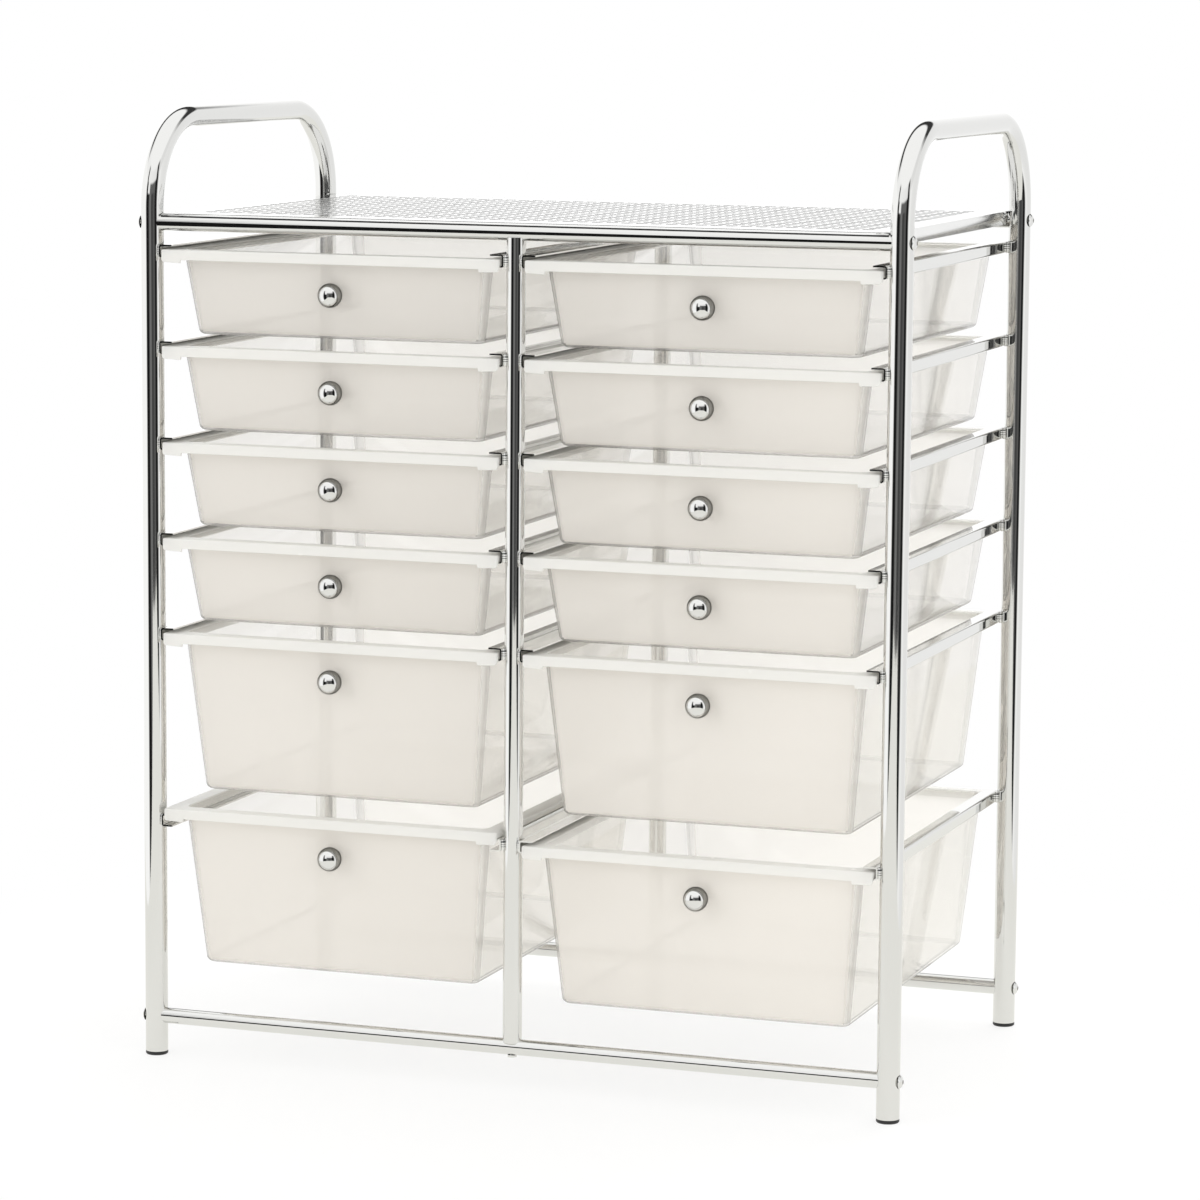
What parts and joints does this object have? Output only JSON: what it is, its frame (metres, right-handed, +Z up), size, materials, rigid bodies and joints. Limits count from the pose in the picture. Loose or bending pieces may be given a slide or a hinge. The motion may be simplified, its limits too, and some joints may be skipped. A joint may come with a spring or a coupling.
{
  "type": "rolling storage cart",
  "caption": "Storage cart: chromed tube frame with a handle at each side, perforated top shelf and two columns of frosted drawers with ball knobs, hung on channels.",
  "frame": {"origin": "on the floor, under the middle of the cart", "axes": "+X to the right along the front, +Y from the front to the rear, +Z up"},
  "size_m": [0.6352, 0.3826, 0.7585],
  "materials": {
    "frame_chrome": "mirror bright",
    "shelf_chrome": "bright plated sheet",
    "runner_chrome": "bright plated folded sheet",
    "fastener_chrome": "bright plated",
    "fastener_steel": "plain",
    "knob_chrome": "mirror bright",
    "plug_black": "matte",
    "drawer_frosted": "frosted, translucent"
  },
  "bodies": {
    "frame": {"left_side_frame": "frame_chrome", "right_side_frame": "frame_chrome", "foot_plugs": "plug_black", "top_front_bar": "frame_chrome", "top_rear_bar": "frame_chrome", "bottom_front_bar": "frame_chrome", "bottom_rear_bar": "frame_chrome", "centre_front_post": "frame_chrome", "centre_rear_post": "frame_chrome", "top_shelf": "shelf_chrome", "left_runners": "runner_chrome", "centre_left_runners": "runner_chrome", "centre_right_runners": "runner_chrome", "right_runners": "runner_chrome", "frame_bolts": "fastener_chrome", "bar_end_inserts": "fastener_steel", "centre_post_screws": "fastener_chrome", "centre_post_inserts": "fastener_steel"},
    "left_1": {"left_drawer_1": "drawer_frosted", "left_knob_1": "knob_chrome"},
    "left_2": {"left_drawer_2": "drawer_frosted", "left_knob_2": "knob_chrome"},
    "left_3": {"left_drawer_3": "drawer_frosted", "left_knob_3": "knob_chrome"},
    "left_4": {"left_drawer_4": "drawer_frosted", "left_knob_4": "knob_chrome"},
    "left_5": {"left_drawer_5": "drawer_frosted", "left_knob_5": "knob_chrome"},
    "left_6": {"left_drawer_6": "drawer_frosted", "left_knob_6": "knob_chrome"},
    "right_1": {"right_drawer_1": "drawer_frosted", "right_knob_1": "knob_chrome"},
    "right_2": {"right_drawer_2": "drawer_frosted", "right_knob_2": "knob_chrome"},
    "right_3": {"right_drawer_3": "drawer_frosted", "right_knob_3": "knob_chrome"},
    "right_4": {"right_drawer_4": "drawer_frosted", "right_knob_4": "knob_chrome"},
    "right_5": {"right_drawer_5": "drawer_frosted", "right_knob_5": "knob_chrome"},
    "right_6": {"right_drawer_6": "drawer_frosted", "right_knob_6": "knob_chrome"}
  },
  "joints": [
    {"name": "left_slide_1", "type": "slide", "parent": "frame", "child": "left_1", "axis": [0, -1, 0], "range_m": [0, 0.25]},
    {"name": "left_slide_2", "type": "slide", "parent": "frame", "child": "left_2", "axis": [0, -1, 0], "range_m": [0, 0.25]},
    {"name": "left_slide_3", "type": "slide", "parent": "frame", "child": "left_3", "axis": [0, -1, 0], "range_m": [0, 0.25]},
    {"name": "left_slide_4", "type": "slide", "parent": "frame", "child": "left_4", "axis": [0, -1, 0], "range_m": [0, 0.25]},
    {"name": "left_slide_5", "type": "slide", "parent": "frame", "child": "left_5", "axis": [0, -1, 0], "range_m": [0, 0.25]},
    {"name": "left_slide_6", "type": "slide", "parent": "frame", "child": "left_6", "axis": [0, -1, 0], "range_m": [0, 0.25]},
    {"name": "right_slide_1", "type": "slide", "parent": "frame", "child": "right_1", "axis": [0, -1, 0], "range_m": [0, 0.25]},
    {"name": "right_slide_2", "type": "slide", "parent": "frame", "child": "right_2", "axis": [0, -1, 0], "range_m": [0, 0.25]},
    {"name": "right_slide_3", "type": "slide", "parent": "frame", "child": "right_3", "axis": [0, -1, 0], "range_m": [0, 0.25]},
    {"name": "right_slide_4", "type": "slide", "parent": "frame", "child": "right_4", "axis": [0, -1, 0], "range_m": [0, 0.25]},
    {"name": "right_slide_5", "type": "slide", "parent": "frame", "child": "right_5", "axis": [0, -1, 0], "range_m": [0, 0.25]},
    {"name": "right_slide_6", "type": "slide", "parent": "frame", "child": "right_6", "axis": [0, -1, 0], "range_m": [0, 0.25]}
  ]
}
